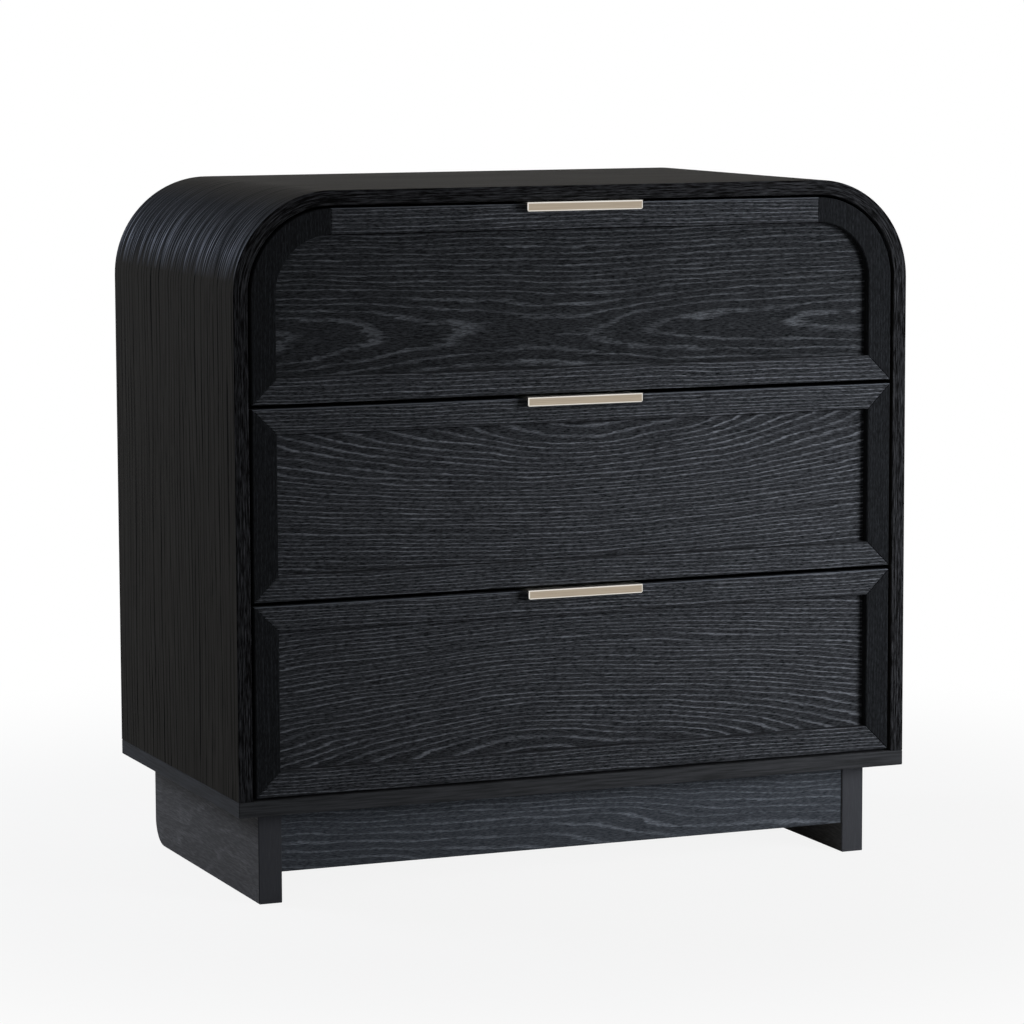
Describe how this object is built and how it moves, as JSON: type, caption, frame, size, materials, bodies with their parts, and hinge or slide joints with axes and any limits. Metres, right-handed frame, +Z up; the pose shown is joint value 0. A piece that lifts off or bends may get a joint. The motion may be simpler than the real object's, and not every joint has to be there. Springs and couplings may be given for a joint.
{
  "type": "nightstand",
  "caption": "Nightstand with rounded upper corners, inset framed drawers on telescopic runners, edge pulls and a base of leg panels and aprons.",
  "frame": {"origin": "on the floor, under the middle of the whole object, pulls included", "axes": "+X to the right along the width, +Y from front to back, +Z up"},
  "size_m": [0.75, 0.412, 0.725],
  "materials": {
    "black_oak": "matt black oak grain",
    "black_edge_board": "matt black with a plain edge",
    "drawer_box_board": "matt charcoal laminated board",
    "back_board": "matt dark fibreboard",
    "plain_wood": "bare softwood",
    "satin_nickel": "brushed warm nickel",
    "zinc_plated_steel": "bright zinc plating"
  },
  "bodies": {
    "case": {"left_side_panel": "black_oak", "right_side_panel": "black_oak", "left_corner": "black_oak", "right_corner": "black_oak", "top_panel": "black_oak", "bottom_panel": "black_edge_board", "back_panel": "back_board", "left_leg": "black_oak", "right_leg": "black_oak", "front_apron": "black_oak", "rear_apron": "black_oak", "base_corner_blocks": "plain_wood", "case_dowels": "plain_wood", "case_screws": "zinc_plated_steel", "back_panel_screws": "zinc_plated_steel", "bottom_drawer_case_rails": "zinc_plated_steel", "middle_drawer_case_rails": "zinc_plated_steel", "top_drawer_case_rails": "zinc_plated_steel"},
    "bottom_drawer": {"bottom_drawer_front_panel": "black_oak", "bottom_drawer_top_rail": "black_oak", "bottom_drawer_bottom_rail": "black_oak", "bottom_drawer_left_stile": "black_oak", "bottom_drawer_right_stile": "black_oak", "bottom_drawer_pull": "satin_nickel", "bottom_drawer_box_front": "drawer_box_board", "bottom_drawer_box_left_side": "drawer_box_board", "bottom_drawer_box_right_side": "drawer_box_board", "bottom_drawer_box_back": "drawer_box_board", "bottom_drawer_box_floor": "drawer_box_board", "bottom_drawer_box_rails": "zinc_plated_steel", "bottom_drawer_screws": "zinc_plated_steel"},
    "bottom_runner_centres": {"bottom_drawer_centre_rails": "zinc_plated_steel"},
    "middle_drawer": {"middle_drawer_front_panel": "black_oak", "middle_drawer_top_rail": "black_oak", "middle_drawer_bottom_rail": "black_oak", "middle_drawer_left_stile": "black_oak", "middle_drawer_right_stile": "black_oak", "middle_drawer_pull": "satin_nickel", "middle_drawer_box_front": "drawer_box_board", "middle_drawer_box_left_side": "drawer_box_board", "middle_drawer_box_right_side": "drawer_box_board", "middle_drawer_box_back": "drawer_box_board", "middle_drawer_box_floor": "drawer_box_board", "middle_drawer_box_rails": "zinc_plated_steel", "middle_drawer_screws": "zinc_plated_steel"},
    "middle_runner_centres": {"middle_drawer_centre_rails": "zinc_plated_steel"},
    "top_drawer": {"top_drawer_front_panel": "black_oak", "top_drawer_top_rail": "black_oak", "top_drawer_bottom_rail": "black_oak", "top_drawer_left_stile": "black_oak", "top_drawer_right_stile": "black_oak", "top_drawer_pull": "satin_nickel", "top_drawer_box_front": "drawer_box_board", "top_drawer_box_left_side": "drawer_box_board", "top_drawer_box_right_side": "drawer_box_board", "top_drawer_box_back": "drawer_box_board", "top_drawer_box_floor": "drawer_box_board", "top_drawer_box_rails": "zinc_plated_steel", "top_drawer_screws": "zinc_plated_steel"},
    "top_runner_centres": {"top_drawer_centre_rails": "zinc_plated_steel"}
  },
  "joints": [
    {"name": "bottom_drawer_slide", "type": "slide", "parent": "case", "child": "bottom_drawer", "axis": [0, -1, 0], "range_m": [0, 0.33]},
    {"name": "middle_drawer_slide", "type": "slide", "parent": "case", "child": "middle_drawer", "axis": [0, -1, 0], "range_m": [0, 0.33]},
    {"name": "top_drawer_slide", "type": "slide", "parent": "case", "child": "top_drawer", "axis": [0, -1, 0], "range_m": [0, 0.33]},
    {"name": "bottom_centre_slide", "type": "slide", "parent": "case", "child": "bottom_runner_centres", "axis": [0, -1, 0], "range_m": [0, 0.165]},
    {"name": "middle_centre_slide", "type": "slide", "parent": "case", "child": "middle_runner_centres", "axis": [0, -1, 0], "range_m": [0, 0.165]},
    {"name": "top_centre_slide", "type": "slide", "parent": "case", "child": "top_runner_centres", "axis": [0, -1, 0], "range_m": [0, 0.165]}
  ],
  "couplings": [
    {"joint": "bottom_centre_slide", "follows": "bottom_drawer_slide", "ratio": 0.5},
    {"joint": "middle_centre_slide", "follows": "middle_drawer_slide", "ratio": 0.5},
    {"joint": "top_centre_slide", "follows": "top_drawer_slide", "ratio": 0.5}
  ]
}
